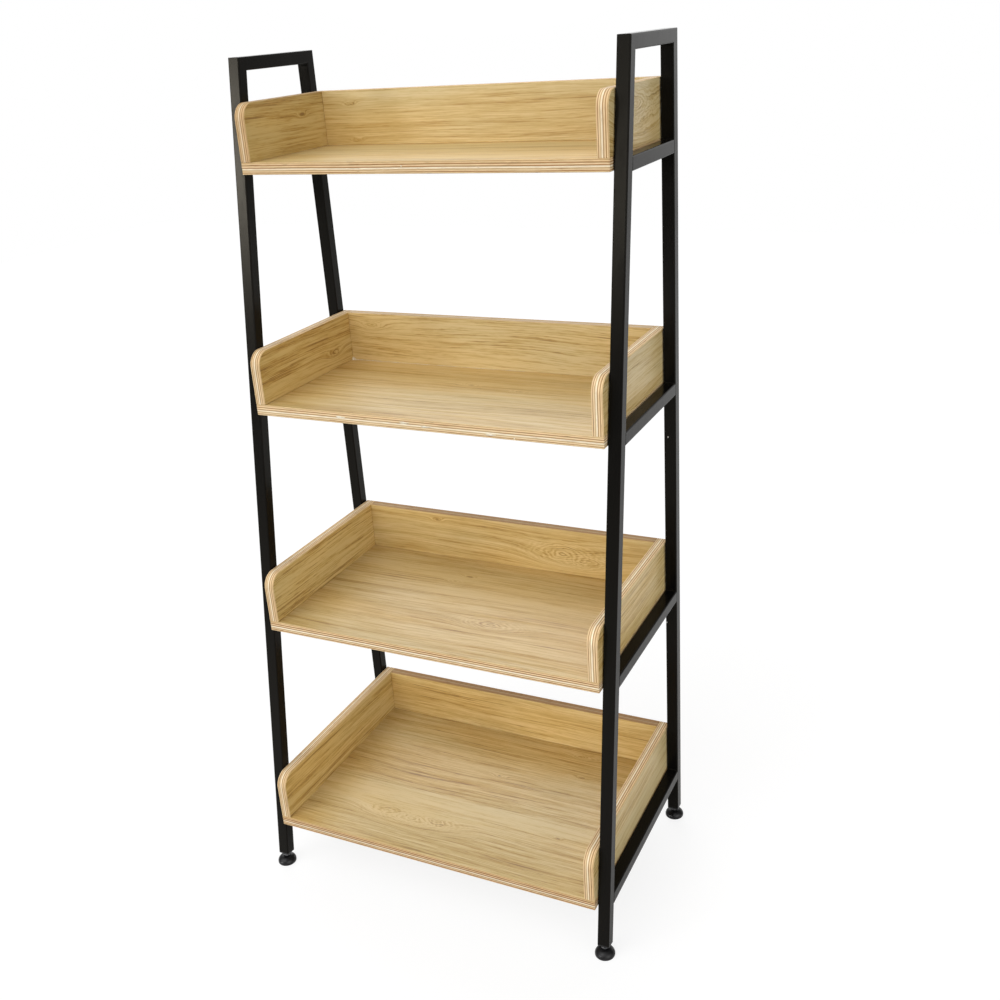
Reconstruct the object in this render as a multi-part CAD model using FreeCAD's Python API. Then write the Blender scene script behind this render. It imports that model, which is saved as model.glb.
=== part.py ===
import FreeCAD, Part
import math
import os

V = FreeCAD.Vector

# Overall sizes, in millimetres. X is width, the front faces -Y, Z is up from the floor.
overall_height = 1376.0
tray_width = 600.0
side_gap = 1.5
top_depth = 200.0
floor_depth = 395.0

# Square steel tube of the two end frames
tube_size = 20.0
tube_wall = 1.5
tube_corner = 2.0
bore_corner_share = 0.3

# Tiers: support rails at an even pitch, the top one this far below the top of the frames
tier_count = 4
lowest_rail_height = 89.0
top_tier_drop = 171.0

# Plywood trays
ply = 18.0
wall_height = 86.0
front_overhang = 9.0
wall_corner = 24.0

# Flat steel lugs welded to the rails, under the tray boards
lug_thickness = 3.0
lug_width = 30.0
lug_reach = 34.0
lug_corner = 5.0
lug_hole_clearance = 0.3
lug_hole_share = 0.7
lug_place_shares = (0.2, 0.8)

# Pan-head screws that hold each board to its lugs
lug_screw_diameter = 4.0
lug_screw_length = 14.0
lug_screw_head_diameter = 8.0
lug_screw_head_height = 2.6

# Countersunk screws up through each board into the tray walls
tray_screw_diameter = 4.0
tray_screw_length = 45.0
tray_screw_head_diameter = 8.0
screw_tip_length = 4.0
screw_tip_share = 0.2
side_screw_shares = (0.12, 0.5, 0.86)
back_screw_shares = (0.1, 0.37, 0.63, 0.9)

# Wooden dowels between each back and its two sides
dowel_diameter = 8.0
dowel_in_side = 12.0
dowel_in_back = 18.0
dowel_height_shares = (0.3, 0.74)

# Threaded plastic insert in the foot of each leg
insert_flange = 2.0
insert_length = 24.0

# Levelling foot: domed pad, ball and stud, with room to screw the foot in
pad_diameter = 33.0
pad_height = 13.0
pad_base_share = 0.88
pad_neck_share = 0.5
pad_rim_shares = (0.17, 0.35)
pad_under_share = 0.3
pad_dome_share = 0.64
ball_height = 7.0
ball_lip = 0.7
stud_diameter = 8.0
stud_neck_diameter = 6.0
stud_length = 36.0
stud_chamfer = 1.0
mouth_gap = 0.45
collar_width = 13.0
collar_height = 3.0
collar_gap = 2.0
screw_in_gap = 3.0

# Fits and cuts
fit_clearance = 0.05
thread_clearance = 0.08
ball_clearance = 0.1
overrun = 5.0

# Values worked out from the sizes above
x_axis = V(1, 0, 0)
y_axis = V(0, 1, 0)
z_axis = V(0, 0, 1)
front_slope = (floor_depth - top_depth) / overall_height
lean = math.atan(front_slope)
lean_degrees = math.degrees(lean)
leg_level_size = tube_size / math.cos(lean)
tier_pitch = (overall_height - top_tier_drop - lowest_rail_height) / (tier_count - 1)
half_width = tray_width / 2 + side_gap + tube_size
rail_inner_face = half_width - tube_size
tube_bore = tube_size - 2 * tube_wall
bore_corner = tube_corner * bore_corner_share
pad_radius = pad_diameter / 2
front_reach = floor_depth - front_slope * ball_height - leg_level_size / 2 + pad_radius
rear_reach = pad_radius - tube_size / 2
rear_face = (front_reach - rear_reach) / 2
lug_hole_radius = lug_screw_diameter / 2 + lug_hole_clearance
lug_hole_inset = lug_reach * lug_hole_share
mouth_radius = stud_neck_diameter / 2 + front_slope * (pad_height - ball_height) + mouth_gap
ball_radius = mouth_radius + ball_lip
collar_start = pad_height + collar_gap - ball_height
foot_height = pad_height + collar_gap + collar_height + screw_in_gap


def front_face(height):
    return rear_face - floor_depth + front_slope * height


def rail_height(tier):
    return lowest_rail_height + tier_pitch * (tier_count - tier)


def board_height(tier):
    return rail_height(tier) + lug_thickness


def tray_front(tier):
    return front_face(board_height(tier)) - front_overhang


def upright_edges(shape):
    return [e for e in shape.Edges if e.BoundBox.ZLength > e.BoundBox.DiagonalLength / 2]


def square_bar(size, corner, length):
    bar = Part.makeBox(size, size, length, V(-size / 2, -size / 2, 0))
    return bar.makeFillet(corner, upright_edges(bar))


def tube(length):
    bore = square_bar(tube_bore, bore_corner, length + 2 * overrun)
    bore.translate(V(0, 0, -overrun))
    return square_bar(tube_size, tube_corner, length).cut(bore)


def trim(shape, point, direction):
    """Remove what lies past the plane through point, on the side that direction points to."""
    reach = overall_height + floor_depth
    block = Part.makeBox(reach, reach, reach, V(-reach / 2, -reach / 2, 0))
    block.Placement = FreeCAD.Placement(point, FreeCAD.Rotation(z_axis, direction))
    return shape.cut(block)


def leg_place(side, front):
    """Frame at the foot of a leg: origin at the centre of its end, Z up along the leg."""
    x = side * (half_width - tube_size / 2)
    if not front:
        return FreeCAD.Placement(V(x, rear_face - tube_size / 2, foot_height), FreeCAD.Rotation())
    y = front_face(foot_height) + leg_level_size / 2
    return FreeCAD.Placement(V(x, y, foot_height), FreeCAD.Rotation(x_axis, -lean_degrees))


def on_leg(shape, side, front, along):
    shape.translate(V(0, 0, along))
    shape.Placement = leg_place(side, front).multiply(shape.Placement)
    return shape


# Corners of the mitres where the top rail meets the legs
front_outer = V(0, front_face(overall_height), overall_height)
front_inner = V(0, front_face(overall_height - tube_size) + leg_level_size, overall_height - tube_size)
front_run = front_inner - front_outer
front_mitre = V(0, -front_run.z, front_run.y)
rear_outer = V(0, rear_face, overall_height)
rear_mitre = V(0, -tube_size, tube_size)


def leg(side, front):
    stock = (overall_height - foot_height) / math.cos(lean) + tube_size
    shape = on_leg(tube(stock), side, front, insert_flange)
    if front:
        return trim(shape, front_outer, front_mitre)
    return trim(shape, rear_outer, rear_mitre)


def level_tube(side, height, start, end):
    """Tube along Y whose underside is at the given height."""
    shape = tube(end - start)
    x = side * (half_width - tube_size / 2)
    shape.Placement = FreeCAD.Placement(V(x, start, height + tube_size / 2), FreeCAD.Rotation(z_axis, y_axis))
    return shape


def top_rail(side):
    shape = level_tube(side, overall_height - tube_size, front_outer.y, rear_face)
    shape = trim(shape, front_outer, front_mitre.negative())
    return trim(shape, rear_outer, rear_mitre.negative())


def rail_start(tier):
    """Where the middle of a support rail meets the rear face of the front leg."""
    return front_face(rail_height(tier) + tube_size / 2) + leg_level_size


def support_rail(side, tier):
    end = rear_face - tube_size
    shape = level_tube(side, rail_height(tier), rail_start(tier) - tube_size, end)
    seat = V(0, rail_start(tier), rail_height(tier) + tube_size / 2)
    return trim(shape, seat, V(0, -math.cos(lean), math.sin(lean)))


def lug_points(side, tier):
    """Places of the screw holes in the two lugs of a rail, on the lugs' underside."""
    clear = rear_face - tube_size - rail_start(tier)
    x = side * (rail_inner_face - lug_hole_inset)
    return [V(x, rail_start(tier) + clear * share, rail_height(tier)) for share in lug_place_shares]


def lug(side, point):
    """Plate welded to the rail's inner face, with its free corners rounded."""
    outer = side * rail_inner_face
    inner = side * (rail_inner_face - lug_reach)
    corner = V(min(outer, inner), point.y - lug_width / 2, point.z)
    shape = Part.makeBox(lug_reach, lug_width, lug_thickness, corner)
    free = [e for e in upright_edges(shape) if abs(e.BoundBox.Center.x - inner) < lug_corner]
    shape = shape.makeFillet(lug_corner, free)
    hole = Part.makeCylinder(lug_hole_radius, lug_thickness + 2 * overrun, point - z_axis * overrun)
    return shape.cut(hole)


def turned(points):
    """Solid of revolution about Z from (radius, height) points that start and end on the axis."""
    outline = Part.makePolygon([V(r, 0, z) for r, z in points] + [V(points[0][0], 0, points[0][1])])
    return Part.Face(outline).revolve(V(0, 0, 0), z_axis, math.degrees(2 * math.pi))


def lug_screw(point, grow):
    radius = lug_screw_diameter / 2 + grow
    head = lug_screw_head_diameter / 2
    tip = lug_screw_length + grow
    shape = turned([(0, -lug_screw_head_height), (head, -lug_screw_head_height), (head, 0), (radius, 0),
                    (radius, tip - screw_tip_length), (radius * screw_tip_share, tip), (0, tip)])
    shape.translate(point)
    return shape


def tray_screw(point, grow):
    radius = tray_screw_diameter / 2 + grow
    head = tray_screw_head_diameter / 2 + grow
    tip = tray_screw_length + grow
    shape = turned([(0, 0), (head, 0), (radius, head - radius), (radius, tip - screw_tip_length),
                    (radius * screw_tip_share, tip), (0, tip)])
    shape.translate(point)
    return shape


def tray_screw_points(tier):
    """Places of the countersunk heads on the underside of a board."""
    depth = rear_face - tray_front(tier)
    side_x = tray_width / 2 - ply / 2
    back_length = tray_width - 2 * ply
    points = [V(side * side_x, tray_front(tier) + depth * share, board_height(tier))
              for side in (-1, 1) for share in side_screw_shares]
    points += [V(back_length * share - back_length / 2, rear_face - ply / 2, board_height(tier))
               for share in back_screw_shares]
    return points


def dowels(tier, grow):
    """Dowels across the joints between a back and its sides, along X."""
    joint = tray_width / 2 - ply
    shapes = []
    for side in (-1, 1):
        for share in dowel_height_shares:
            height = board_height(tier) + ply + wall_height * share
            start = V(side * (joint - dowel_in_back - grow), rear_face - ply / 2, height)
            length = dowel_in_back + dowel_in_side + 2 * grow
            shapes.append(Part.makeCylinder(dowel_diameter / 2 + grow, length, start, x_axis * side))
    return shapes


def fixings(tier):
    """Holes for every screw and dowel of a tray."""
    holes = [tray_screw(point, fit_clearance) for point in tray_screw_points(tier)]
    holes += [lug_screw(point, fit_clearance) for side in (-1, 1) for point in lug_points(side, tier)]
    return holes + dowels(tier, fit_clearance)


def drilled(shape, tier):
    for hole in fixings(tier):
        if shape.BoundBox.intersect(hole.BoundBox):
            shape = shape.cut(hole)
    return shape


def board(tier):
    depth = rear_face - tray_front(tier)
    corner = V(-tray_width / 2, tray_front(tier), board_height(tier))
    return drilled(Part.makeBox(tray_width, depth, ply, corner), tier)


def tray_side(side, tier):
    """Wall on the end of a board, with its upper front corner rounded."""
    front = tray_front(tier)
    low = board_height(tier) + ply
    high = low + wall_height
    middle = wall_corner * (1 - math.cos(math.pi / 4))
    x = min(side * tray_width / 2, side * (tray_width / 2 - ply))
    start = V(x, front, high - wall_corner)
    end = V(x, front + wall_corner, high)
    rounded = Part.Arc(start, V(x, front + middle, high - middle), end).toShape()
    straight = Part.makePolygon([end, V(x, rear_face, high), V(x, rear_face, low), V(x, front, low), start])
    outline = Part.Wire([rounded] + straight.Edges)
    return drilled(Part.Face(outline).extrude(x_axis * ply), tier)


def tray_back(tier):
    length = tray_width - 2 * ply
    corner = V(-length / 2, rear_face - ply, board_height(tier) + ply)
    return drilled(Part.makeBox(length, ply, wall_height, corner), tier)


def insert(side, front):
    """Square plug with a flange that closes the tube and a bore for the stud."""
    flange = square_bar(tube_size, tube_corner, insert_flange)
    plug = square_bar(tube_bore - 2 * fit_clearance, bore_corner, insert_flange + insert_length)
    reach = insert_flange + insert_length + 2 * overrun
    bore = Part.makeCylinder(stud_diameter / 2 + thread_clearance, reach, z_axis * -overrun)
    return on_leg(flange.fuse(plug).cut(bore).removeSplitter(), side, front, 0)


def ball_drop(front):
    """Distance along a leg from its end down to the middle of the ball."""
    return (foot_height - ball_height) / (math.cos(lean) if front else 1)


def foot_stud(side, front):
    """Ball, neck, six-sided collar and stud, along the leg."""
    ball = Part.makeSphere(ball_radius)
    neck = Part.makeCylinder(stud_neck_diameter / 2, collar_start)
    across = collar_width / 2 / math.cos(math.pi / 6)
    angles = [math.pi / 3 * k for k in range(7)]
    rim = Part.makePolygon([V(across * math.cos(a), across * math.sin(a), collar_start) for a in angles])
    collar = Part.Face(rim).extrude(z_axis * collar_height)
    radius = stud_diameter / 2
    foot = collar_start + collar_height
    stud = turned([(0, foot), (radius, foot), (radius, stud_length - stud_chamfer),
                   (radius - stud_chamfer, stud_length), (0, stud_length)])
    return on_leg(ball.fuse([neck, collar, stud]).removeSplitter(), side, front, -ball_drop(front))


def foot_pad(side, front):
    """Domed round pad with a socket for the ball, flat on the floor."""
    base = pad_radius * pad_base_share
    neck = pad_radius * pad_neck_share
    low, high = (pad_height * share for share in pad_rim_shares)
    under = V(pad_radius - (pad_radius - base) * pad_under_share, 0, low * pad_under_share)
    dome = V(neck + (pad_radius - neck) * pad_dome_share, 0, high + (pad_height - high) * pad_dome_share)
    edges = [Part.makeLine(V(0, 0, 0), V(base, 0, 0)),
             Part.Arc(V(base, 0, 0), under, V(pad_radius, 0, low)).toShape(),
             Part.makeLine(V(pad_radius, 0, low), V(pad_radius, 0, high)),
             Part.Arc(V(pad_radius, 0, high), dome, V(neck, 0, pad_height)).toShape(),
             Part.makeLine(V(neck, 0, pad_height), V(0, 0, pad_height)),
             Part.makeLine(V(0, 0, pad_height), V(0, 0, 0))]
    pad = Part.Face(Part.Wire(edges)).revolve(V(0, 0, 0), z_axis, math.degrees(2 * math.pi))
    socket = Part.makeSphere(ball_radius + ball_clearance, z_axis * ball_height)
    mouth = Part.makeCylinder(mouth_radius, pad_height, z_axis * ball_height)
    pad = pad.cut(socket.fuse(mouth))
    ball = leg_place(side, front).multVec(V(0, 0, -ball_drop(front)))
    pad.translate(V(ball.x, ball.y, 0))
    return pad


def export(name, shape):
    shape.exportStep("parts/" + name + ".step")
    print(name, len(shape.Solids), round(shape.Volume), shape.isValid())


os.makedirs("parts", exist_ok=True)
tiers = range(1, tier_count + 1)
for side_name, side in (("left", -1), ("right", 1)):
    export(side_name + "_top_rail", top_rail(side))
    for place, front in (("front", True), ("rear", False)):
        corner_name = side_name + "_" + place
        export(corner_name + "_leg", leg(side, front))
        export(corner_name + "_insert", insert(side, front))
        export(corner_name + "_foot_stud", foot_stud(side, front))
        export(corner_name + "_foot_pad", foot_pad(side, front))
    for tier in tiers:
        export(side_name + "_rail_" + str(tier), support_rail(side, tier))
        lugs = [lug(side, point) for point in lug_points(side, tier)]
        export(side_name + "_lugs_" + str(tier), Part.makeCompound(lugs))
        export("tray_" + str(tier) + "_" + side_name + "_side", tray_side(side, tier))
for tier in tiers:
    export("tray_" + str(tier) + "_board", board(tier))
    export("tray_" + str(tier) + "_back", tray_back(tier))
lug_places = [point for tier in tiers for side in (-1, 1) for point in lug_points(side, tier)]
tray_places = [point for tier in tiers for point in tray_screw_points(tier)]
export("lug_screws", Part.makeCompound([lug_screw(point, 0) for point in lug_places]))
export("tray_screws", Part.makeCompound([tray_screw(point, 0) for point in tray_places]))
export("tray_dowels", Part.makeCompound([dowel for tier in tiers for dowel in dowels(tier, 0)]))
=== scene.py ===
import math
import bpy
import bmesh
from mathutils import Matrix, Vector


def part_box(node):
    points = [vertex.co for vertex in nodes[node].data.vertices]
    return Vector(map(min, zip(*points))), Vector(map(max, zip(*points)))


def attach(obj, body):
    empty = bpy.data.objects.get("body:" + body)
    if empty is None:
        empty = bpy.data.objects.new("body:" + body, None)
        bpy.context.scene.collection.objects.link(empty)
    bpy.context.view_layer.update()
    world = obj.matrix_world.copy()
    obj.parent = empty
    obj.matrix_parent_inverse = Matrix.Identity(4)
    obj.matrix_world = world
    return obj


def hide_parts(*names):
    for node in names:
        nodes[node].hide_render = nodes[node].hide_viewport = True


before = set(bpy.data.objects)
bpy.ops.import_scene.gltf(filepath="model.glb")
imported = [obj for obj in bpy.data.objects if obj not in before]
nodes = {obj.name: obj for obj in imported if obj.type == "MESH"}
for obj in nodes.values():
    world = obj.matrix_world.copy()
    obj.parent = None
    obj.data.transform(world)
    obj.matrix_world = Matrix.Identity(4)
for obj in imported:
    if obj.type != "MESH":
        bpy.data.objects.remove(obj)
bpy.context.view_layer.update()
scene = bpy.context.scene
fullTurn = 2 * math.pi
print("frame loaded:", len(nodes), "nodes")


# node helpers
def addNode(tree, kind, inputs=None, **settings):
    node = tree.nodes.new(kind)
    for key, value in settings.items():
        setattr(node, key, value)
    for key, value in (inputs or {}).items():
        if isinstance(value, bpy.types.NodeSocket):
            tree.links.new(value, node.inputs[key])
        else:
            node.inputs[key].default_value = value
    return node


def maths(tree, operation, a, b=0.0):
    return addNode(tree, "ShaderNodeMath", {0: a, 1: b}, operation=operation).outputs[0]


def plus(tree, a, b):
    return maths(tree, "ADD", a, b)


def minus(tree, a, b):
    return maths(tree, "SUBTRACT", a, b)


def times(tree, a, b):
    return maths(tree, "MULTIPLY", a, b)


def over(tree, a, b):
    return maths(tree, "DIVIDE", a, b)


def spread(tree, value, low, high, newLow=0.0, newHigh=1.0):
    settings = {"Value": value, "From Min": low, "From Max": high, "To Min": newLow, "To Max": newHigh}
    return addNode(tree, "ShaderNodeMapRange", settings, interpolation_type="SMOOTHSTEP").outputs[0]


def mixColor(tree, factor, a, b, blend="MIX", clamp=True):
    # inputs 6 and 7 and output 2 are the colours of a mix node
    settings = {"data_type": "RGBA", "blend_type": blend, "clamp_factor": clamp}
    return addNode(tree, "ShaderNodeMix", {0: factor, 6: a, 7: b}, **settings).outputs[2]


def joined(tree, x, y, z):
    return addNode(tree, "ShaderNodeCombineXYZ", {0: x, 1: y, 2: z}).outputs[0]


def split(tree, vector):
    return addNode(tree, "ShaderNodeSeparateXYZ", {0: vector}).outputs


def stretchedNoise(tree, place, stretch, seed, detail=2.0, rough=0.5):
    scaled = addNode(tree, "ShaderNodeVectorMath", {0: place, 1: stretch}, operation="MULTIPLY").outputs[0]
    settings = {"Vector": scaled, "W": seed, "Scale": 1.0, "Detail": detail, "Roughness": rough}
    return addNode(tree, "ShaderNodeTexNoise", settings, noise_dimensions="4D").outputs[0]


def clouds(tree, place, seed, look):
    # noise of one look, with its range widened to full contrast
    detail, rough = look.get("detail", 2.0), look.get("rough", 0.5)
    noise = stretchedNoise(tree, place, look["stretch"], seed, detail, rough)
    return spread(tree, noise, *look["range"])


def colorRamp(tree, value, stops):
    node = addNode(tree, "ShaderNodeValToRGB", {0: value})
    ramp = node.color_ramp
    while len(ramp.elements) > 1:
        ramp.elements.remove(ramp.elements[-1])
    ramp.elements[0].position = stops[0][0]
    ramp.elements[0].color = (*stops[0][1], 1)
    for place, color in stops[1:]:
        ramp.elements.new(place).color = (*color, 1)
    return node.outputs[0]


def newGroup(name, inputs, outputs):
    tree = bpy.data.node_groups.new(name, "ShaderNodeTree")
    for label, kind in inputs:
        tree.interface.new_socket(label, in_out="INPUT", socket_type="NodeSocket" + kind)
    for label, kind in outputs:
        tree.interface.new_socket(label, in_out="OUTPUT", socket_type="NodeSocket" + kind)
    return tree, tree.nodes.new("NodeGroupInput").outputs, tree.nodes.new("NodeGroupOutput").inputs


def useGroup(tree, group, inputs):
    return addNode(tree, "ShaderNodeGroup", inputs, node_tree=group).outputs


def newMaterial(name):
    material = bpy.data.materials.new(name)
    material.use_nodes = True
    tree = material.node_tree
    place = addNode(tree, "ShaderNodeTexCoord").outputs["Object"]
    return material, tree, tree.nodes["Principled BSDF"], place


def bumpInto(tree, shader, height, look):
    settings = {"Height": height, "Strength": look["bump"], "Distance": look["bumpDepth"]}
    tree.links.new(addNode(tree, "ShaderNodeBump", settings).outputs[0], shader.inputs["Normal"])


# oak veneer: layers of grain, growth rings and up to seven eye knots that the grain flows round
oak = {"pale": (0.675, 0.51, 0.235), "middle": (0.585, 0.416, 0.158), "deep": (0.48, 0.3, 0.088),
       "knot": (0.3, 0.172, 0.058), "stops": (0.08, 0.4, 0.74, 1.0), "evenDepth": 0.42,
       "greyCast": (0.955, 0.985, 1.06), "redCast": (1.045, 0.99, 0.9), "castSeed": 40.0,
       "castClouds": {"stretch": (1.6, 8.0, 2.0), "detail": 3.0, "range": (0.36, 0.64)},
       "sway": (1.4, 5.0, 1.0), "bend": 0.05, "rough": (0.36, 0.5),
       "hollow": -0.5, "bump": 0.12, "bumpDepth": 0.0004}
# each layer: stretch along, across and through the grain, and its share of the darkening
grain = {
    "bands": {"stretch": (0.9, 24.0, 6.0), "range": (0.3, 0.7), "share": 0.24},
    "stripes": {"stretch": (2.2, 85.0, 20.0), "range": (0.34, 0.68), "share": 0.19},
    "streaks": {"stretch": (5.0, 230.0, 40.0), "detail": 4.0, "rough": 0.6, "range": (0.4, 0.68),
                "share": 0.2},
    "dashes": {"stretch": (8.0, 350.0, 60.0), "detail": 4.0, "rough": 0.6, "range": (0.48, 0.68),
               "share": 0.24},
    "flecks": {"stretch": (5.5, 170.0, 50.0), "detail": 4.0, "rough": 0.6, "range": (0.5, 0.72),
               "share": -0.17},
    "fibres": {"stretch": (11.0, 560.0, 90.0), "detail": 3.0, "rough": 0.7, "range": (0.38, 0.62, -0.5, 0.5),
               "share": 0.38},
    "pores": {"stretch": (60.0, 800.0, 300.0), "detail": 1.0, "range": (0.5, 0.7), "share": 0.16}}
growth = {"perMetre": 42.0, "drift": (0.8, 9.0, 2.0), "driftTurn": 11.0, "sharpness": 3.0, "share": 0.2,
          "patches": {"stretch": (1.3, 8.0, 2.0), "range": (0.42, 0.66)}}
eye = {"letters": "ABCDEFG", "longer": 0.36, "least": 0.0001, "fade": -0.5, "wander": 0.012,
       "tangle": (40.0, 110.0, 5.0), "tangleDetail": 3.0, "ripples": 260.0, "rippleShare": 0.31,
       "calmSize": 0.016, "heartFade": -2.5, "smallHeart": 0.0025, "core": 0.17, "heartShare": 0.75}


def buildOakGroup():
    knotNames = [f"Knot {letter}" for letter in eye["letters"]]
    inputs = [("Place", "Vector"), ("Seed", "Float"), ("Contrast", "Float")]
    inputs += [(name, "Vector") for name in knotNames]
    outputs = [("Color", "Color"), ("Roughness", "Float"), ("Height", "Float")]
    tree, given, result = newGroup("oakFigure", inputs, outputs)
    along, across, through = split(tree, given["Place"])
    seed = given["Seed"]
    face = joined(tree, along, across, 0.0)
    tangle = stretchedNoise(tree, face, eye["tangle"], seed, eye["tangleDetail"])
    wander = times(tree, tangle, eye["wander"])
    bent, ripples, hearts = across, 0.0, 0.0
    for name in knotNames:
        knotX, knotY, knotSize = split(tree, given[name])
        size = maths(tree, "MAXIMUM", knotSize, eye["least"])
        awayX = times(tree, minus(tree, along, knotX), eye["longer"])
        reach = joined(tree, awayX, minus(tree, across, knotY), 0.0)
        away = addNode(tree, "ShaderNodeVectorMath", {0: reach}, operation="LENGTH").outputs["Value"]
        far = over(tree, away, size)
        square = times(tree, far, far)
        near = maths(tree, "EXPONENT", times(tree, square, eye["fade"]))
        ring = plus(tree, away, wander)
        wrapped = minus(tree, plus(tree, knotY, ring), bent)
        bent = plus(tree, bent, times(tree, near, wrapped))
        ripple = maths(tree, "SINE", times(tree, ring, eye["ripples"] * fullTurn))
        calm = maths(tree, "MINIMUM", over(tree, eye["calmSize"], size), 1.0)
        strength = times(tree, near, times(tree, calm, calm))
        ripples = plus(tree, ripples, times(tree, strength, ripple))
        heart = maths(tree, "EXPONENT", times(tree, square, eye["heartFade"]))
        small = maths(tree, "MINIMUM", over(tree, eye["smallHeart"], size), 1.0)
        core = plus(tree, times(tree, small, small), eye["core"])
        hearts = plus(tree, hearts, times(tree, heart, core))
    sway = minus(tree, stretchedNoise(tree, face, oak["sway"], seed), 0.5)
    bent = plus(tree, bent, times(tree, sway, oak["bend"]))
    flow = joined(tree, along, bent, through)
    layers = {name: clouds(tree, flow, seed, look) for name, look in grain.items()}
    drift = times(tree, stretchedNoise(tree, flow, growth["drift"], seed), growth["driftTurn"])
    phase = plus(tree, times(tree, bent, growth["perMetre"] * fullTurn), drift)
    wave = plus(tree, times(tree, maths(tree, "SINE", phase), 0.5), 0.5)
    rings = maths(tree, "POWER", wave, growth["sharpness"])
    rings = times(tree, rings, clouds(tree, flow, seed, growth["patches"]))
    depth = plus(tree, times(tree, rings, growth["share"]), times(tree, hearts, eye["heartShare"]))
    for name, layer in layers.items():
        depth = plus(tree, depth, times(tree, layer, grain[name]["share"]))
    depth = times(tree, minus(tree, depth, oak["evenDepth"]), given["Contrast"])
    depth = plus(tree, plus(tree, depth, oak["evenDepth"]), times(tree, ripples, eye["rippleShare"]))
    tones = [oak[tone] for tone in ("pale", "middle", "deep", "knot")]
    figured = colorRamp(tree, depth, list(zip(oak["stops"], tones)))
    warmth = clouds(tree, flow, plus(tree, seed, oak["castSeed"]), oak["castClouds"])
    cast = mixColor(tree, warmth, (*oak["greyCast"], 1), (*oak["redCast"], 1))
    tree.links.new(mixColor(tree, 1.0, figured, cast, "MULTIPLY"), result["Color"])
    tree.links.new(spread(tree, layers["streaks"], 0.0, 1.0, *oak["rough"]), result["Roughness"])
    lines = plus(tree, layers["pores"], layers["streaks"])
    tree.links.new(times(tree, lines, oak["hollow"]), result["Height"])
    return tree


# plywood edge: layers through the thickness, with fibres, pale patches and gaps along them
plyEdge = {"layers": [(0.0, (0.6, 0.41, 0.2)), (0.03, (0.8, 0.6, 0.345)), (0.1, (0.82, 0.625, 0.37)),
                      (0.135, (0.44, 0.225, 0.085)), (0.17, (0.44, 0.225, 0.085)),
                      (0.21, (0.87, 0.685, 0.42)), (0.27, (0.87, 0.685, 0.42)),
                      (0.32, (0.49, 0.28, 0.115)), (0.37, (0.81, 0.64, 0.41)),
                      (0.43, (0.97, 0.87, 0.65)), (0.47, (0.97, 0.87, 0.65)), (0.53, (0.45, 0.24, 0.095)),
                      (0.57, (0.45, 0.24, 0.095)), (0.62, (0.88, 0.69, 0.425)), (0.68, (0.88, 0.69, 0.425)),
                      (0.73, (0.44, 0.23, 0.09)), (0.77, (0.44, 0.23, 0.09)), (0.82, (0.85, 0.65, 0.38)),
                      (0.88, (0.83, 0.62, 0.35)), (0.93, (0.5, 0.29, 0.12)), (0.97, (0.79, 0.595, 0.33)),
                      (1.0, (0.76, 0.565, 0.295))],
           "even": (0.72, 0.53, 0.29), "waves": (9.0, 9.0, 1.0), "waveDetail": 3.0, "waver": 0.07,
           "sheet": 0.018,
           "fibres": {"stretch": (70.0, 70.0, 900.0), "detail": 3.0, "range": (0.34, 0.7), "share": 0.3,
                      "color": (0.44, 0.255, 0.095)},
           "patches": {"stretch": (16.0, 16.0, 420.0), "range": (0.5, 0.75), "share": 0.4,
                       "color": (0.76, 0.6, 0.36)},
           "gaps": {"stretch": (34.0, 34.0, 620.0), "rough": 0.7, "range": (0.62, 0.72), "share": 0.75,
                    "color": (0.22, 0.12, 0.05)},
           "fibreHeight": 0.4, "greenFade": 1.35, "blueFade": 1.8, "rough": 0.65, "shine": 0.1, "bump": 0.35,
           "bumpDepth": 0.0006, "plainTone": 0.99, "plainContrast": 1.05,
           # tone lightens or darkens each panel's edges to how lit they look: painted light and shade,
           # darkest on the lower trays' back edges under the trays above, partly the plies' own tone
           "tone": {"tray_1_board": 0.96, "tray_2_board": 1.06, "tray_4_board": 0.87, "tray_3_back": 0.68,
                    "tray_4_back": 0.6, "tray_1_left_side": 0.84, "tray_2_right_side": 1.06,
                    "tray_3_right_side": 1.06},
           "contrast": {"tray_1_board": 1.15, "tray_3_board": 1.4, "tray_4_board": 1.6}}


def buildPlyGroup():
    inputs = [("Place", "Vector"), ("Seed", "Float"), ("Tone", "Float"), ("Contrast", "Float")]
    tree, given, result = newGroup("plyLayers", inputs, [("Color", "Color"), ("Height", "Float")])
    along, other, level = split(tree, given["Place"])
    seed = given["Seed"]
    run = joined(tree, along, other, 0.0)
    waves = minus(tree, stretchedNoise(tree, run, plyEdge["waves"], seed, plyEdge["waveDetail"]), 0.5)
    layer = plus(tree, level, times(tree, waves, plyEdge["waver"]))
    layers = colorRamp(tree, layer, plyEdge["layers"])
    color = mixColor(tree, given["Contrast"], (*plyEdge["even"], 1), layers, clamp=False)
    cut = joined(tree, along, other, times(tree, layer, plyEdge["sheet"]))
    marks = {}
    for kind in ("fibres", "patches", "gaps"):
        look = plyEdge[kind]
        marks[kind] = clouds(tree, cut, seed, look)
        color = mixColor(tree, times(tree, marks[kind], look["share"]), color, (*look["color"], 1))
    red = given["Tone"]
    green = maths(tree, "POWER", red, plyEdge["greenFade"])
    blue = maths(tree, "POWER", red, plyEdge["blueFade"])
    color = mixColor(tree, 1.0, color, joined(tree, red, green, blue), "MULTIPLY")
    tree.links.new(color, result["Color"])
    height = minus(tree, times(tree, marks["fibres"], plyEdge["fibreHeight"]), marks["gaps"])
    tree.links.new(height, result["Height"])
    return tree


oakGroup = buildOakGroup()
plyGroup = buildPlyGroup()
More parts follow.
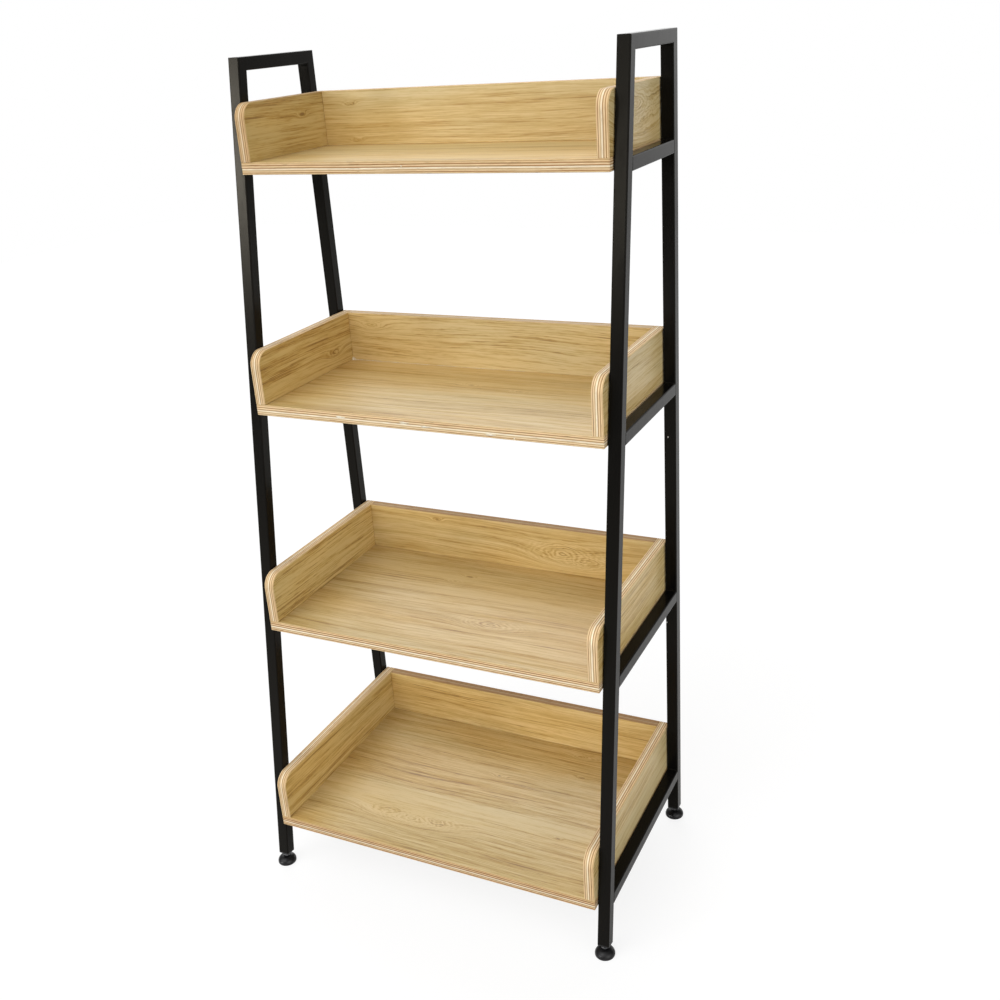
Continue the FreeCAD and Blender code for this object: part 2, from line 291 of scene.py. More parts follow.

# order: the axis along the grain, the one across it, the one through the sheet
# each kind's tint colours its panels by which way they face: painted shade on the left sides' inner faces
# (darker, yellower), painted sheen on the right sides' outer faces (paler, bluer), a slight painted cool
# shift on the backs
panelKinds = {"board": {"thin": 2, "order": (0, 1, 2), "paintedLightTint": (1, 1, 1), "contrast": 1.2},
              "leftSide": {"thin": 0, "order": (1, 2, 0), "paintedLightTint": (0.93, 0.91, 0.8), "contrast": 1.7},
              "rightSide": {"thin": 0, "order": (1, 2, 0), "paintedLightTint": (1.08, 1.12, 1.2), "contrast": 1.35},
              "back": {"thin": 1, "order": (0, 2, 1), "paintedLightTint": (0.965, 0.985, 1.025), "contrast": 1.2}}


def oakFace(name, kind, figure):
    material, tree, shader, place = newMaterial(name)
    panel = panelKinds[kind]
    axes = split(tree, place)
    inputs = {"Place": joined(tree, *[axes[axis] for axis in panel["order"]]), "Seed": figure["seed"],
              "Contrast": panel["contrast"] * figure.get("contrast", 1.0)}
    for letter, knot in zip(eye["letters"], figure.get("knots", [])):
        inputs[f"Knot {letter}"] = knot
    veneer = useGroup(tree, oakGroup, inputs)
    # the kind's colour by facing times the panel's shade: painted light, partly the veneer's own tone
    paintedLightTint = [share * figure.get("shade", 1.0) for share in panel["paintedLightTint"]]
    tree.links.new(mixColor(tree, 1.0, veneer["Color"], (*paintedLightTint, 1), "MULTIPLY"), shader.inputs["Base Color"])
    tree.links.new(veneer["Roughness"], shader.inputs["Roughness"])
    bumpInto(tree, shader, veneer["Height"], oak)
    return material


def acrossAxes(kind):
    return [axis for axis in range(3) if axis != panelKinds[kind]["thin"]]


def plyRim(node, kind, seed, low, high):
    material, tree, shader, place = newMaterial("ply_" + node)
    axes = split(tree, place)
    thin = panelKinds[kind]["thin"]
    first, second = acrossAxes(kind)
    level = over(tree, minus(tree, axes[thin], low[thin]), high[thin] - low[thin])
    inputs = {"Place": joined(tree, axes[first], axes[second], level), "Seed": seed,
              "Tone": plyEdge["tone"].get(node, plyEdge["plainTone"]),
              "Contrast": plyEdge["contrast"].get(node, plyEdge["plainContrast"])}
    layers = useGroup(tree, plyGroup, inputs)
    tree.links.new(layers["Color"], shader.inputs["Base Color"])
    shader.inputs["Roughness"].default_value = plyEdge["rough"]
    shader.inputs["Specular IOR Level"].default_value = plyEdge["shine"]
    bumpInto(tree, shader, layers["Height"], plyEdge)
    return material


# mesh helpers
def meshFrom(bm, name):
    mesh = bpy.data.meshes.new(name)
    bm.to_mesh(mesh)
    bm.free()
    return mesh


def faceOutward(bm):
    bmesh.ops.recalc_face_normals(bm, faces=bm.faces)


def turnsOf(steps):
    return [fullTurn * k / steps for k in range(steps)]


def circle(bm, radius, height, steps):
    return [bm.verts.new((radius * math.cos(t), radius * math.sin(t), height)) for t in turnsOf(steps)]


def skin(bm, rings, smooth=True):
    # four-sided faces between each ring of points and the next
    for lower, upper in zip(rings, rings[1:]):
        for k in range(len(lower)):
            j = (k + 1) % len(lower)
            bm.faces.new((lower[k], lower[j], upper[j], upper[k])).smooth = smooth


def closedSkin(bm, rings, smooth=True):
    skin(bm, rings, smooth)
    bm.faces.new(list(reversed(rings[0])))
    bm.faces.new(rings[-1])


def asPiece(name, mesh, materials):
    piece = bpy.data.objects.new(name, mesh)
    scene.collection.objects.link(piece)
    for material in materials:
        mesh.materials.append(material)
    return piece


def finished(piece):
    # evaluates the modifiers into a plain mesh and drops them
    bpy.context.view_layer.update()
    mesh = bpy.data.meshes.new_from_object(piece.evaluated_get(bpy.context.evaluated_depsgraph_get()))
    piece.modifiers.clear()
    piece.data = mesh


# tray panels with eased edges and a rounded upper front corner on the sides
trays = {"count": 4, "wallCorner": 0.024, "cornerSteps": 14, "ease": 0.001, "easeSteps": 3, "sharpAngle": 30,
         "flatShare": 0.9}
# each figure: where its noise starts, each knot's place along and across the grain and size, and shade and
# contrast; shade lightens or darkens the whole panel to how lit it looks, painted light mixed with the
# veneer's own tone
figures = {
    "tray_1_board": {"seed": 1.3, "shade": 1.05},
    "tray_1_back": {"seed": 2.1, "contrast": 0.85,
                    "knots": [(-0.221, 1.234, 0.0028), (-0.229, 1.291, 0.003)]},
    "tray_1_left_side": {"seed": 3.7, "knots": [(0.116, 1.282, 0.003)], "shade": 0.85, "contrast": 0.9},
    "tray_1_right_side": {"seed": 4.2, "knots": [(0.102, 1.265, 0.024), (0.07, 1.285, 0.018)]},
    "tray_2_board": {"seed": 5.5, "knots": [(0.0, 0.089, 0.004), (0.097, 0.075, 0.004)]},
    "tray_2_back": {"seed": 6.9, "knots": [(-0.234, 0.92, 0.006)], "contrast": 1.4},
    "tray_2_left_side": {"seed": 7.3, "knots": [(0.125, 0.883, 0.006)], "shade": 0.94},
    "tray_2_right_side": {"seed": 8.8},
    "tray_3_board": {"seed": 9.4, "shade": 0.93,
                     "knots": [(-0.044, 0.114, 0.004), (-0.063, 0.091, 0.004), (0.067, -0.033, 0.013)]},
    "tray_3_back": {"seed": 10.6, "shade": 1.07, "contrast": 0.85,
                    "knots": [(0.1125, 0.5205, 0.016), (0.157, 0.512, 0.01), (-0.139, 0.556, 0.003)]},
    "tray_3_left_side": {"seed": 11.2, "shade": 1.07, "contrast": 1.25},
    "tray_3_right_side": {"seed": 12.7, "shade": 1.1},
    "tray_4_board": {"seed": 13.1, "shade": 0.99, "contrast": 1.1,
                     "knots": [(-0.13, -0.113, 0.011), (-0.075, -0.118, 0.014), (-0.028, -0.11, 0.011),
                               (0.02, 0.048, 0.004), (0.188, -0.076, 0.0025), (0.165, 0.095, 0.003),
                               (0.146, 0.155, 0.006)]},
    "tray_4_back": {"seed": 14.5, "shade": 1.14},
    "tray_4_left_side": {"seed": 15.8, "shade": 1.07, "contrast": 1.1},
    "tray_4_right_side": {"seed": 16.4, "shade": 1.07}}


def panelOutline(kind, low, high):
    first, second = acrossAxes(kind)
    outline = [(low[first], low[second]), (high[first], low[second]), (high[first], high[second])]
    if not kind.endswith("Side"):
        return outline + [(low[first], high[second])]
    radius, steps = trays["wallCorner"], trays["cornerSteps"]
    for step in range(steps + 1):
        turn = math.pi / 2 * step / steps
        across, up = radius * (1 - math.sin(turn)), radius * (1 - math.cos(turn))
        outline.append((low[first] + across, high[second] - up))
    return outline


def panelPiece(node, kind):
    low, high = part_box(node)
    thin = panelKinds[kind]["thin"]
    first, second = acrossAxes(kind)
    bm = bmesh.new()
    rims = []
    for level in (low[thin], high[thin]):
        rim = []
        for a, b in panelOutline(kind, low, high):
            point = Vector((0, 0, 0))
            point[first], point[second], point[thin] = a, b, level
            rim.append(bm.verts.new(point))
        rims.append(rim)
    closedSkin(bm, rims)
    faceOutward(bm)
    sharp = [edge for edge in bm.edges if edge.calc_face_angle() > math.radians(trays["sharpAngle"])]
    bmesh.ops.bevel(bm, geom=sharp, offset=trays["ease"], segments=trays["easeSteps"], profile=0.5,
                    affect="EDGES")
    for face in bm.faces:
        face.smooth = True
        face.material_index = 0 if abs(face.normal[thin]) > trays["flatShare"] else 1
    figure = figures[node]
    veneer = oakFace("oak_" + node, kind, figure)
    rimLook = plyRim(node, kind, figure["seed"], low, high)
    piece = asPiece(node + "_veneered", meshFrom(bm, node + "_veneered"), [veneer, rimLook])
    piece.modifiers.new("flatFaces", "WEIGHTED_NORMAL").keep_sharp = True
    finished(piece)
    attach(piece, "rack")
    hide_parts(node)


for tray in range(1, trays["count"] + 1):
    panelPiece(f"tray_{tray}_board", "board")
    panelPiece(f"tray_{tray}_back", "back")
    panelPiece(f"tray_{tray}_left_side", "leftSide")
    panelPiece(f"tray_{tray}_right_side", "rightSide")
print("trays veneered:", trays["count"])

# satin black powder coat: orange peel, a slight drift of tone and of gloss
coat = {"color": (0.0035, 0.0034, 0.0033), "drift": (0.0065, 0.0062, 0.0058), "rough": (0.19, 0.25),
        "shine": 0.08, "warmth": (1.0, 0.9, 0.7), "bump": 0.06, "bumpDepth": 0.0002,
        "toneClouds": {"stretch": (6.0, 6.0, 2.0), "detail": 3.0, "range": (0.35, 0.7)}, "toneSeed": 1.0,
        "peel": (900.0, 900.0, 900.0), "peelSeed": 2.0, "glossSeed": 3.0,
        "glossClouds": {"stretch": (40.0, 40.0, 14.0), "detail": 4.0, "rough": 0.65, "range": (0.4, 0.75)}}


def buildCoatGroup():
    outputs = [("Color", "Color"), ("Roughness", "Float"), ("Height", "Float")]
    tree, given, result = newGroup("powderCoat", [("Place", "Vector")], outputs)
    place = given["Place"]
    tone = clouds(tree, place, coat["toneSeed"], coat["toneClouds"])
    gloss = clouds(tree, place, coat["glossSeed"], coat["glossClouds"])
    tree.links.new(mixColor(tree, tone, (*coat["color"], 1), (*coat["drift"], 1)), result["Color"])
    tree.links.new(spread(tree, gloss, 0.0, 1.0, *coat["rough"]), result["Roughness"])
    tree.links.new(stretchedNoise(tree, place, coat["peel"], coat["peelSeed"]), result["Height"])
    return tree


coatGroup = buildCoatGroup()


def coatedSteel(name):
    material, tree, shader, place = newMaterial(name)
    look = useGroup(tree, coatGroup, {"Place": place})
    tree.links.new(look["Color"], shader.inputs["Base Color"])
    tree.links.new(look["Roughness"], shader.inputs["Roughness"])
    shader.inputs["Specular IOR Level"].default_value = coat["shine"]
    shader.inputs["Specular Tint"].default_value = (*coat["warmth"], 1)
    bumpInto(tree, shader, look["Height"], coat)
    return material


# moulded foot plastic and plated steel, both clouded
plastic = {"color": (0.005, 0.005, 0.0055), "pale": (0.012, 0.012, 0.0125), "rough": (0.26, 0.38),
           "shine": 0.3, "clouds": (60.0, 60.0, 60.0), "seed": 4.0, "detail": 3.0, "colorRange": (0.4, 0.7),
           "roughRange": (0.3, 0.7), "texture": (1800.0, 1800.0, 1800.0), "textureSeed": 5.0,
           "textureDetail": 1.0, "bump": 0.05, "bumpDepth": 0.0002}
plating = {"clouds": (240.0, 240.0, 240.0), "seed": 6.0, "detail": 3.0, "colorRange": (0.35, 0.7),
           "roughRange": (0.3, 0.7)}
blackPlating = {"color": (0.1, 0.1, 0.105), "pale": (0.2, 0.2, 0.205), "rough": (0.28, 0.42), **plating}
brightPlating = {"color": (0.5, 0.5, 0.49), "pale": (0.66, 0.66, 0.64), "rough": (0.25, 0.4), **plating}


def cloudedFinish(tree, shader, place, look):
    cloud = stretchedNoise(tree, place, look["clouds"], look["seed"], look["detail"])
    share = spread(tree, cloud, *look["colorRange"])
    color = mixColor(tree, share, (*look["color"], 1), (*look["pale"], 1))
    tree.links.new(color, shader.inputs["Base Color"])
    tree.links.new(spread(tree, cloud, *look["roughRange"], *look["rough"]), shader.inputs["Roughness"])


def mouldedPlastic(name):
    material, tree, shader, place = newMaterial(name)
    cloudedFinish(tree, shader, place, plastic)
    shader.inputs["Specular IOR Level"].default_value = plastic["shine"]
    look = plastic["texture"], plastic["textureSeed"], plastic["textureDetail"]
    texture = stretchedNoise(tree, place, *look)
    bumpInto(tree, shader, texture, plastic)
    return material


def platedSteel(name, look):
    material, tree, shader, place = newMaterial(name)
    cloudedFinish(tree, shader, place, look)
    shader.inputs["Metallic"].default_value = 1.0
    return material


steelLook = coatedSteel("blackPowderCoat")
plasticLook = mouldedPlastic("blackFootPlastic")
studLook = platedSteel("blackZincStud", blackPlating)
screwLook = platedSteel("zincScrew", brightPlating)
dowelLook = oakFace("beechDowel", "board", {"seed": 21.0})
looks = {"_leg": steelLook, "_rail": steelLook, "_lugs": steelLook, "_pad": plasticLook,
         "_insert": plasticLook, "_stud": studLook, "_screws": screwLook, "tray_dowels": dowelLook}
for name, node in nodes.items():
    for part, look in looks.items():
        if part in name:
            node.data.materials.clear()
            node.data.materials.append(look)
            break
print("steel, plastic and fixings dressed")

# where the legs stand: the front legs' slope and front face at the floor, the rear legs' inner face
legs = {"slope": 0.141715, "frontAtFloor": -0.198046, "levelSize": 0.0202, "rearInner": 0.176954,
        "tube": 0.02}


def frontLegRear(height):
    return legs["frontAtFloor"] + legs["slope"] * height + legs["levelSize"]


# screw heads: a turned rim round a flat centre with a cross recess
screws = {"slotLong": 0.0021, "slotWide": 0.00055, "slotDeep": 0.0013, "slotTaper": 0.8, "steps": 20,
          "flushRim": [(0.004, 0.0), (0.0039, 0.00025), (0.0026, 0.0003)],
          "panRim": [(0.004, 0.0), (0.004, 0.0012), (0.0037, 0.0019), (0.0031, 0.0024), (0.0026, 0.0026)],
          "spin": 6.28, "flushSeed": 4, "panSeed": 9, "sideX": 0.291, "sideShares": (0.12, 0.5, 0.86),
          "backSpan": 0.564, "backInset": 0.009, "backShares": (0.1, 0.37, 0.63, 0.9),
          "lugX": 0.2777, "lugShares": (0.2, 0.8)}


def crossHead(name, rim):
    bm = bmesh.new()
    rings = [circle(bm, radius, height, screws["steps"]) for radius, height in rim]
    skin(bm, rings, False)
    bm.faces.new(list(reversed(rings[0])))
    top, wide, long = rim[-1][1], screws["slotWide"], screws["slotLong"]
    arm = [(long, -wide), (long, wide), (wide, wide)]
    arms = arm + [(-y, x) for x, y in arm] + [(-x, -y) for x, y in arm] + [(y, -x) for x, y in arm]
    mouth = [bm.verts.new((x, y, top)) for x, y in arms]
    taper, bottom = screws["slotTaper"], top - screws["slotDeep"]
    foot = [bm.verts.new((x * taper, y * taper, bottom)) for x, y in arms]
    skin(bm, [foot, mouth], False)
    bm.faces.new(foot)
    loops = []
    for loop in (rings[-1], mouth):
        loops += [bm.edges.get((a, b)) for a, b in zip(loop, loop[1:] + loop[:1])]
    bmesh.ops.bridge_loops(bm, edges=loops)
    faceOutward(bm)
    return meshFrom(bm, name)


def scatterTree():
    # puts one shape on every point, turned at random about its own axis
    tree = bpy.data.node_groups.new("onePerPoint", "GeometryNodeTree")
    ends = (("Points", "INPUT", "Geometry"), ("Shape", "INPUT", "Object"), ("Look", "INPUT", "Material"),
            ("Flip", "INPUT", "Float"), ("Spin", "INPUT", "Float"), ("Seed", "INPUT", "Int"),
            ("Pieces", "OUTPUT", "Geometry"))
    keys = {label: tree.interface.new_socket(label, in_out=way, socket_type="NodeSocket" + kind).identifier
            for label, way, kind in ends}
    given = tree.nodes.new("NodeGroupInput").outputs
    shape = addNode(tree, "GeometryNodeObjectInfo", {"Object": given["Shape"]}).outputs["Geometry"]
    # input 3 is the highest angle and output 1 the angle drawn
    inputs = {3: given["Spin"], "Seed": given["Seed"]}
    angle = addNode(tree, "FunctionNodeRandomValue", inputs, data_type="FLOAT")
    turn = addNode(tree, "ShaderNodeCombineXYZ", {0: given["Flip"], 2: angle.outputs[1]}).outputs[0]
    inputs = {"Points": given["Points"], "Instance": shape, "Rotation": turn}
    placed = addNode(tree, "GeometryNodeInstanceOnPoints", inputs)
    solid = addNode(tree, "GeometryNodeRealizeInstances", {"Geometry": placed.outputs[0]})
    inputs = {"Geometry": solid.outputs[0], "Material": given["Look"]}
    dressed = addNode(tree, "GeometryNodeSetMaterial", inputs)
    tree.links.new(dressed.outputs[0], tree.nodes.new("NodeGroupOutput").inputs["Pieces"])
    return tree, keys


scatter, scatterKeys = scatterTree()


def scattered(name, shapeMesh, points, look, flip=0.0, spin=0.0, seed=1):
    shape = asPiece(name + "_shape", shapeMesh, [])
    mesh = bpy.data.meshes.new(name)
    mesh.from_pydata(points, [], [])
    piece = asPiece(name, mesh, [])
    modifier = piece.modifiers.new("onePerPoint", "NODES")
    modifier.node_group = scatter
    for label, value in (("Shape", shape), ("Look", look), ("Flip", flip), ("Spin", spin), ("Seed", seed)):
        modifier[scatterKeys[label]] = value
    finished(piece)
    bpy.data.objects.remove(shape)
    return piece


def flushPoints():
    points = []
    for tray in range(1, trays["count"] + 1):
        low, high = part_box(f"tray_{tray}_board")
        for share in screws["sideShares"]:
            y = low[1] + (high[1] - low[1]) * share
            points += [(side * screws["sideX"], y, low[2]) for side in (-1, 1)]
        y = high[1] - screws["backInset"]
        points += [(screws["backSpan"] * (share - 0.5), y, low[2]) for share in screws["backShares"]]
    return points


def panPoints():
    points = []
    for rail in range(1, trays["count"] + 1):
        start = frontLegRear(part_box(f"right_rail_{rail}")[0][2] + legs["tube"] / 2)
        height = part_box(f"right_lugs_{rail}")[0][2]
        for share in screws["lugShares"]:
            y = start + (legs["rearInner"] - start) * share
            points += [(side * screws["lugX"], y, height) for side in (-1, 1)]
    return points


flushHeads = scattered("tray_screw_heads", crossHead("flushHead", screws["flushRim"]), flushPoints(),
                       screwLook, math.pi, screws["spin"], screws["flushSeed"])
panHeads = scattered("lug_screw_heads", crossHead("panHead", screws["panRim"]), panPoints(),
                     screwLook, math.pi, screws["spin"], screws["panSeed"])
for heads, node in ((flushHeads, "tray_screws"), (panHeads, "lug_screws")):
    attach(heads, "rack")
    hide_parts(node)
print("screw heads:", len(flushPoints()), "flush,", len(panPoints()), "pan")

# weld beads in the corners where the rails meet the legs
weld = {"long": 0.0165, "size": 0.0017, "ripples": 9, "rippleDepth": 0.1, "endSize": 0.3, "blunt": 8,
        "steps": 10, "rows": 36}


def beadMesh():
    bm = bmesh.new()
    rows = []
    for row in range(weld["rows"] + 1):
        share = row / weld["rows"]
        ends = math.sqrt(max(0.0, 1 - (2 * share - 1) ** weld["blunt"]))
        ripple = 1 + weld["rippleDepth"] * math.cos(share * weld["ripples"] * fullTurn)
        radius = weld["size"] * (weld["endSize"] + (1 - weld["endSize"]) * ends) * ripple
        x = (share - 0.5) * weld["long"]
        turns = turnsOf(weld["steps"])
        rows.append([bm.verts.new((x, radius * math.cos(t), radius * math.sin(t))) for t in turns])
    closedSkin(bm, rows)
    faceOutward(bm)
    return meshFrom(bm, "weldBead")


def beadPoints():
    points = []
    for side in ("left", "right"):
        low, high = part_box(f"{side}_rear_leg")
        middle = (low[0] + high[0]) / 2
        levels = []
        for rail in range(1, trays["count"] + 1):
            levels += [corner[2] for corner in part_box(f"{side}_rail_{rail}")]
        levels.append(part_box(f"{side}_top_rail")[0][2])
        for level in levels:
            points += [(middle, frontLegRear(level), level), (middle, legs["rearInner"], level)]
    return points


welds = scattered("frame_welds", beadMesh(), beadPoints(), steelLook)
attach(welds, "rack")
print("weld beads:", len(beadPoints()))

# dried glue in a tray corner, wood filler on two front edges, pale dots on the rear legs' front faces
# each of the lumps and lobes: how deep, how many, where it starts
glue = {"tray": 2, "line": 0.0009, "lump": (0.0045, 0.0035, 0.004), "reach": 0.34, "crowding": 1.6,
        "thinning": 0.7, "lumps": ((0.3, 47, 0), (0.2, 113, 2)), "dent": 0.45, "sunk": 0.0004, "rows": 90,
        "steps": 8, "color": (0.6, 0.49, 0.31), "pale": (0.72, 0.64, 0.48)}
filler = {"long": 0.008, "high": 0.0017, "proud": 0.0003, "color": (0.78, 0.68, 0.5),
          "pale": (0.88, 0.82, 0.68),
          "spots": ((2, -0.14, 0.846), (2, -0.025, 0.847), (2, 0.012, 0.8435), (2, 0.121, 0.841))}
dot = {"long": 0.0011, "high": 0.0012, "proud": 0.0002, "spots": ((1, -0.0175, 1.219), (2, 0.16, 0.839))}
# pale raised dots on the rear legs' front faces, coloured lighter than the coat
paleDots = {"long": 0.0012, "high": 0.0016, "proud": 0.0002, "color": (0.5, 0.5, 0.48), "pale": (0.7, 0.7, 0.68),
         "spots": ((0.3084, 0.7615), (0.3035, 0.4176))}
dab = {"steps": 16, "lobes": ((0.22, 3, 1), (0.14, 5, 0))}
dabFinish = {"clouds": {"stretch": (300.0, 300.0, 300.0), "detail": 3.0, "range": (0.35, 0.65)}, "seed": 7.0,
         "rough": (0.4, 0.65), "bump": 0.2, "bumpDepth": 0.0003}


def cloudedDabLook(name, tones):
    material, tree, shader, place = newMaterial(name)
    cloud = clouds(tree, place, dabFinish["seed"], dabFinish["clouds"])
    color = mixColor(tree, cloud, (*tones["color"], 1), (*tones["pale"], 1))
    tree.links.new(color, shader.inputs["Base Color"])
    tree.links.new(spread(tree, cloud, 0.0, 1.0, *dabFinish["rough"]), shader.inputs["Roughness"])
    bumpInto(tree, shader, cloud, dabFinish)
    return material


def uneven(waves, place):
    return 1 + sum(depth * math.sin(count * place + start) for depth, count, start in waves)


def dabMesh(name, sizes):
    # a domed dab that faces the front and sinks a little into its ground
    bm = bmesh.new()
    rim = []
    for t in turnsOf(dab["steps"]):
        wobble = uneven(dab["lobes"], t)
        x, z = sizes["long"] * wobble * math.cos(t), sizes["high"] * wobble * math.sin(t)
        rim.append(bm.verts.new((x, 0, z)))
    foot = [bm.verts.new((vert.co.x, sizes["proud"], vert.co.z)) for vert in rim]
    crown = bm.verts.new((0, -sizes["proud"], 0))
    for k in range(dab["steps"]):
        j = (k + 1) % dab["steps"]
        bm.faces.new((rim[k], rim[j], crown)).smooth = True
    skin(bm, [foot, rim], False)
    bm.faces.new(foot)
    faceOutward(bm)
    return meshFrom(bm, name)


def glueBead():
    # starts as a lump in the left rear corner and thins along the back
    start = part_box(f"tray_{glue['tray']}_left_side")[1][0]
    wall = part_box(f"tray_{glue['tray']}_back")[0][1]
    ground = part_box(f"tray_{glue['tray']}_board")[1][2]
    bm = bmesh.new()
    rows = []
    for row in range(glue["rows"] + 1):
        share = row / glue["rows"]
        x = start + glue["reach"] * share ** glue["crowding"]
        swell = math.exp(-((x - start) / glue["lump"][0]) ** 2)
        thin = glue["line"] * (1 - glue["thinning"] * share) * uneven(glue["lumps"], share)
        deep, high = thin + glue["lump"][1] * swell, thin + glue["lump"][2] * swell
        ring = [(glue["sunk"], -glue["sunk"])]
        for k in range(glue["steps"] + 1):
            t = math.pi / 2 * k / glue["steps"]
            bulge = 1 - glue["dent"] + glue["dent"] * abs(math.cos(2 * t))
            ring.append((-deep * math.cos(t) * bulge, high * math.sin(t) * bulge))
        rows.append([bm.verts.new((x, wall + y, ground + z)) for y, z in ring])
    closedSkin(bm, rows)
    faceOutward(bm)
    return asPiece("corner_glue", meshFrom(bm, "corner_glue"), [cloudedDabLook("driedGlue", glue)])


def edgePoints(spots):
    return [(x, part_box(f"tray_{tray}_board")[0][1], z) for tray, x, z in spots]


fillerLook = cloudedDabLook("woodFiller", filler)
paleDotPoints = [(x, legs["rearInner"], z) for x, z in paleDots["spots"]]
fillerDabs = scattered("edge_filler", dabMesh("fillerDab", filler), edgePoints(filler["spots"]), fillerLook)
fillerDots = scattered("edge_dots", dabMesh("fillerDot", dot), edgePoints(dot["spots"]), fillerLook)
paleLegDots = scattered("paint_nicks", dabMesh("paleDot", paleDots), paleDotPoints, cloudedDabLook("paleDotLook", paleDots))
for piece, slot in ((glueBead(), "oak_ply"), (fillerDabs, "oak_ply"), (fillerDots, "oak_ply"),
                    (paleLegDots, "steel_frame")):
    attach(piece, "rack")
print("glue, filler and nicks placed")

# levelling studs: ball and neck, hexagon collar, coarse thread
stud = {"ball": 0.005, "ballFrom": -80, "ballTo": 50, "ballStep": 10, "neck": 0.003, "neckLow": 0.0047,
        "collarLow": 0.008, "collarHigh": 0.011, "collarAcross": 0.013, "collarEdge": 0.93,
        "collarEase": 0.12, "top": 0.036, "tip": 0.0006, "crest": 0.00398, "root": 0.0034, "sunk": 0.0003,
        "pitch": 0.00125, "steps": 20, "firstTurn": 0.6, "bareTop": 0.0012, "runOut": 12,
        "ridge": (0.06, 0.5, 0.94), "footX": 0.3115, "footY": 0.186954, "ballHeight": 0.007}


def turnedShape(bm, profile, steps, smooth=True):
    closedSkin(bm, [circle(bm, radius, height, steps) for radius, height in profile], smooth)


def threadRidge(bm):
    steps, pitch, root = stud["steps"], stud["pitch"], stud["root"]
    first = stud["collarHigh"] + pitch * stud["firstTurn"]
    count = int((stud["top"] - stud["bareTop"] - first - pitch) / pitch * steps)
    foot = root - stud["sunk"]
    low, middle, high = stud["ridge"]
    lows, crests, highs = [], [], []
    for k in range(count):
        t = fullTurn * k / steps
        taper = min(1.0, k / stud["runOut"], (count - 1 - k) / stud["runOut"])
        crest = root + (stud["crest"] - root) * taper
        for line, radius, share in ((lows, foot, low), (crests, crest, middle), (highs, foot, high)):
            height = first + pitch * (k / steps + share)
            line.append(bm.verts.new((radius * math.cos(t), radius * math.sin(t), height)))
    for k in range(count - 1):
        for a, b in ((lows, crests), (crests, highs), (highs, lows)):
            bm.faces.new((a[k], a[k + 1], b[k + 1], b[k]))
    bm.faces.new((lows[0], crests[0], highs[0]))
    bm.faces.new((highs[-1], crests[-1], lows[-1]))


def studMesh():
    bm = bmesh.new()
    angles = [math.radians(d) for d in range(stud["ballFrom"], stud["ballTo"] + 1, stud["ballStep"])]
    ball = [(stud["ball"] * math.cos(t), stud["ball"] * math.sin(t)) for t in angles]
    neck, low, high, top = stud["neck"], stud["collarLow"], stud["collarHigh"], stud["top"]
    turnedShape(bm, ball + [(neck, stud["neckLow"]), (neck, low)], stud["steps"])
    collar = stud["collarAcross"] / math.sqrt(3)
    edge, ease = collar * stud["collarEdge"], (high - low) * stud["collarEase"]
    turnedShape(bm, [(edge, low), (collar, low + ease), (collar, high - ease), (edge, high)], 6, False)
    root, tip = stud["root"], stud["tip"]
    turnedShape(bm, [(root, high), (root, top - tip), (root - tip, top)], stud["steps"])
    threadRidge(bm)
    return meshFrom(bm, "studThread")


def studPiece(side, end):
    lean = math.atan(legs["slope"]) if end == "front" else 0.0
    x = stud["footX"] * (1 if side == "right" else -1)
    y = stud["footY"] * (1 if end == "rear" else -1)
    mesh = studMesh()
    mesh.transform(Matrix.Translation((x, y, stud["ballHeight"])) @ Matrix.Rotation(-lean, 4, "X"))
    piece = asPiece(f"{side}_{end}_stud_threaded", mesh, [studLook])
    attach(piece, f"{side}_{end}_stud")
    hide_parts(f"{side}_{end}_foot_stud")


for side in ("left", "right"):
    for end in ("front", "rear"):
        studPiece(side, end)
print("levelling studs: 4")

# floor, light and camera
studio = {"floor": 12.0, "floorShade": 0.2, "glossShade": 0.8, "floorGlow": 0.83, "floorShine": 0.2}
# each soft light: where it lies, how strong, how tight
softLights = {"ceiling": ((0, 0, 1), 0.5, 8), "frontHigh": ((-0.3, -0.66, 0.69), 3.2, 8),
              "frontLow": ((-0.33, -0.93, 0.12), 8.0, 400), "frontLeft": ((-0.62, -0.77, 0.13), 36.0, 400),
              "frontRight": ((0.8, -0.6, 0.25), 2.5, 8), "right": ((1, -0.1, 0.2), 0.7, 8),
              "behindRight": ((0.3, 0.94, 0.1), 1.6, 16), "behindLow": ((-0.42, 0.9, 0.14), 0.8, 16),
              "behindMiddle": ((-0.38, 0.8, 0.42), 1.5, 16), "behindHigh": ((-0.34, 0.68, 0.66), 2.2, 16),
              "left": ((-1, 0, 0.25), 0.3, 8), "leftBehind": ((-0.85, 0.5, 0.3), 0.3, 8)}


def buildFloor():
    bm = bmesh.new()
    bmesh.ops.create_grid(bm, x_segments=2, y_segments=2, size=studio["floor"] / 2)
    material = bpy.data.materials.new("paleFloor")
    material.use_nodes = True
    tree = material.node_tree
    tree.nodes.clear()
    paths = tree.nodes.new("ShaderNodeLightPath").outputs
    glow = times(tree, paths["Is Camera Ray"], studio["floorGlow"])
    glow = plus(tree, glow, times(tree, paths["Is Glossy Ray"], studio["floorShine"]))
    extra = times(tree, paths["Is Glossy Ray"], studio["glossShade"] - studio["floorShade"])
    shade = addNode(tree, "ShaderNodeBsdfDiffuse", {"Color": plus(tree, extra, studio["floorShade"])})
    light = addNode(tree, "ShaderNodeEmission", {"Color": (1, 1, 1, 1), "Strength": glow})
    both = addNode(tree, "ShaderNodeAddShader", {0: shade.outputs[0], 1: light.outputs[0]})
    addNode(tree, "ShaderNodeOutputMaterial", {"Surface": both.outputs[0]})
    floor = asPiece("studioFloor", meshFrom(bm, "studioFloor"), [material])


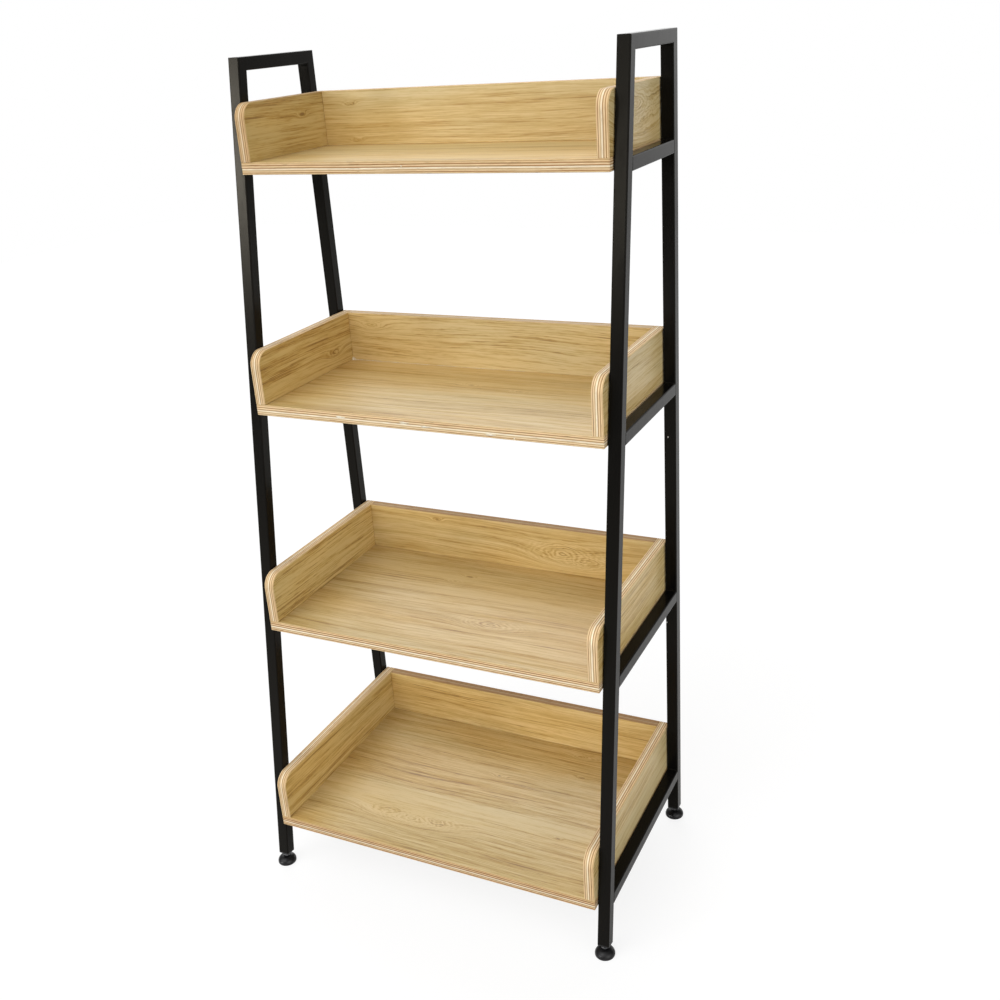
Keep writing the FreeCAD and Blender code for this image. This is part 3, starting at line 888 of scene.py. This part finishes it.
def buildWorld():
    world = bpy.data.worlds.new("softStudio")
    scene.world = world
    world.use_nodes = True
    tree = world.node_tree
    tree.nodes.clear()
    direction = addNode(tree, "ShaderNodeTexCoord").outputs["Generated"]
    total = 0.0
    for toward, strength, tightness in softLights.values():
        ends = {0: direction, 1: Vector(toward).normalized()}
        facing = addNode(tree, "ShaderNodeVectorMath", ends, operation="DOT_PRODUCT").outputs["Value"]
        lobe = maths(tree, "POWER", maths(tree, "MAXIMUM", facing, 0.0), float(tightness))
        total = plus(tree, total, times(tree, lobe, strength))
    seen = tree.nodes.new("ShaderNodeLightPath").outputs["Is Camera Ray"]
    strength = maths(tree, "MAXIMUM", total, seen)
    back = addNode(tree, "ShaderNodeBackground", {"Color": (1, 1, 1, 1), "Strength": strength})
    addNode(tree, "ShaderNodeOutputWorld", {"Surface": back.outputs[0]})


buildFloor()
buildWorld()

shot = {"place": (0.844821, -1.501723, 1.407816), "yaw": 26.8409, "pitch": 22.9313, "roll": -4.0638,
        "focalPixels": 1142.317, "sensor": 36.0, "imageWidth": 1000, "nearest": 0.05, "farthest": 60.0}


def buildCamera():
    yaw, pitch, roll = (math.radians(shot[key]) for key in ("yaw", "pitch", "roll"))
    ahead = Vector((-math.sin(yaw) * math.cos(pitch), math.cos(yaw) * math.cos(pitch), -math.sin(pitch)))
    level = Vector((math.cos(yaw), math.sin(yaw), 0))
    above = level.cross(ahead)
    right = level * math.cos(roll) + above * math.sin(roll)
    up = above * math.cos(roll) - level * math.sin(roll)
    data = bpy.data.cameras.new("photoCamera")
    data.sensor_fit = "HORIZONTAL"
    data.sensor_width = shot["sensor"]
    data.lens = shot["focalPixels"] * shot["sensor"] / shot["imageWidth"]
    data.clip_start, data.clip_end = shot["nearest"], shot["farthest"]
    camera = bpy.data.objects.new("photoCamera", data)
    turn = Matrix((right, up, -ahead)).transposed().to_4x4()
    camera.matrix_world = Matrix.Translation(shot["place"]) @ turn
    scene.collection.objects.link(camera)
    scene.camera = camera


buildCamera()
scene.view_settings.view_transform = "Standard"
print("studio and camera ready")
